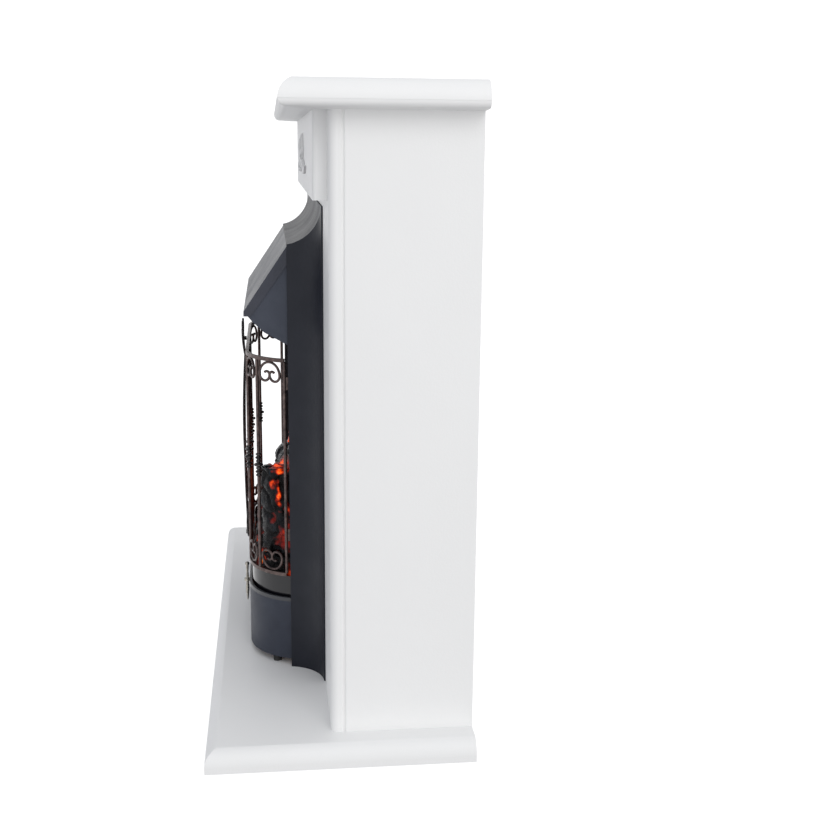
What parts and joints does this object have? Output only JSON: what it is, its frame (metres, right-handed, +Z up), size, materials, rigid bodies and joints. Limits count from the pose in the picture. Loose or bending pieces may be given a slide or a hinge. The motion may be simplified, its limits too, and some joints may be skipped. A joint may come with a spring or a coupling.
{
  "type": "electric fireplace",
  "caption": "Free-standing electric fireplace: white moulded surround with hearth and mantel shelf, black coved fire insert with sloping hood, bowed bronze fret and log effect bed.",
  "frame": {"origin": "centre of the footprint of the hearth board, on the floor", "axes": "+Z up, +X along the shelf to the right seen from the wall side out, the fire faces -Y and the wall is at +Y"},
  "size_m": [0.854, 0.32, 0.784],
  "materials": {
    "white_paint": "white satin paint on fibreboard",
    "raw_timber": "bare softwood",
    "zinc_steel": "zinc plated",
    "black_coat": "fine textured black powder coat",
    "cover_bead": "black powder coat, slightly polished on the crown",
    "gloss_black": "gloss",
    "ember_resin": "charred resin with translucent orange patches lit from below",
    "log_resin": "charred resin with translucent orange cracks lit from below",
    "smoked_screen": "smoked, translucent",
    "reflector_foil": "bright",
    "black_plastic": "fine matt",
    "circuit_board": "lacquered laminate",
    "lamp_lens": "amber lens",
    "motor_steel": "dark grey",
    "heater_wire": "oxidised resistance ribbon",
    "black_rubber": "matt",
    "pewter": "antique pewter plate, turned",
    "bronze": "dark antique bronze"
  },
  "bodies": {
    "surround_and_fire": {"hearth_board": "white_paint", "mantel_shelf": "white_paint", "side_panel_left": "white_paint", "side_panel_right": "white_paint", "pilaster_left": "white_paint", "pilaster_right": "white_paint", "header_board": "white_paint", "frieze_board": "white_paint", "carved_onlay": "white_paint", "rear_rail": "raw_timber", "corner_blocks": "raw_timber", "hearth_screws": "zinc_steel", "wall_brackets": "zinc_steel", "fixing_screws": "zinc_steel", "trim_left": "black_coat", "trim_right": "black_coat", "trim_top": "black_coat", "hood_front": "black_coat", "hood_cheeks": "black_coat", "casing_back": "black_coat", "casing_sides": "black_coat", "casing_top": "black_coat", "casing_floor": "black_coat", "casing_flanges": "black_coat", "fuel_deck": "black_coat", "deck_brackets": "black_coat", "ember_lip": "gloss_black", "ember_bed": "ember_resin", "logs": "log_resin", "flame_screen": "smoked_screen", "screen_clips": "zinc_steel", "spindle_bearings": "black_plastic", "spindle_motor": "zinc_steel", "light_board": "circuit_board", "lamps": "lamp_lens", "heater_shelf": "zinc_steel", "blower_housing": "zinc_steel", "blower_motor": "motor_steel", "heating_element": "heater_wire", "outlet_grille": "black_coat", "control_panel": "black_coat", "inlet_gland": "black_plastic", "hanger_pins": "zinc_steel"},
    "spindle": {"spindle": "reflector_foil"},
    "rotor": {"blower_rotor": "reflector_foil"},
    "switch_flame": {"switch_flame": "black_plastic"},
    "switch_low": {"switch_low": "black_plastic"},
    "switch_high": {"switch_high": "black_plastic"},
    "thermostat": {"thermostat_knob": "black_plastic"},
    "base_cover": {"base_cover": "black_coat", "cover_rim": "cover_bead", "cover_feet": "black_rubber", "cover_pull": "pewter"},
    "fret": {"fret_rails": "bronze", "fret_bars": "bronze", "fret_collars": "bronze", "fret_scrolls": "bronze", "fret_ornament": "bronze", "fret_hooks": "bronze"}
  },
  "joints": [
    {"name": "spindle_spin", "type": "hinge", "parent": "surround_and_fire", "child": "spindle", "pos_m": [0, 0.064, 0.101], "axis": [1, 0, 0], "continuous": true},
    {"name": "rotor_spin", "type": "hinge", "parent": "surround_and_fire", "child": "rotor", "pos_m": [0, 0.054, 0.505], "axis": [1, 0, 0], "continuous": true},
    {"name": "switch_flame_rock", "type": "hinge", "parent": "surround_and_fire", "child": "switch_flame", "pos_m": [0.1, -0.0175, 0.487], "axis": [1, 0, 0], "range_deg": [-6, 6]},
    {"name": "switch_low_rock", "type": "hinge", "parent": "surround_and_fire", "child": "switch_low", "pos_m": [0.124, -0.0175, 0.487], "axis": [1, 0, 0], "range_deg": [-6, 6]},
    {"name": "switch_high_rock", "type": "hinge", "parent": "surround_and_fire", "child": "switch_high", "pos_m": [0.148, -0.0175, 0.487], "axis": [1, 0, 0], "range_deg": [-6, 6]},
    {"name": "thermostat_turn", "type": "hinge", "parent": "surround_and_fire", "child": "thermostat", "pos_m": [0.088, -0.022, 0.527], "axis": [0, 1, 0], "range_deg": [0, 270]},
    {"name": "cover_pull_out", "type": "slide", "parent": "surround_and_fire", "child": "base_cover", "axis": [0, -1, 0], "range_m": [0, 0.04]},
    {"name": "fret_lift", "type": "slide", "parent": "surround_and_fire", "child": "fret", "axis": [0, 0, 1], "range_m": [0, 0.012]}
  ]
}
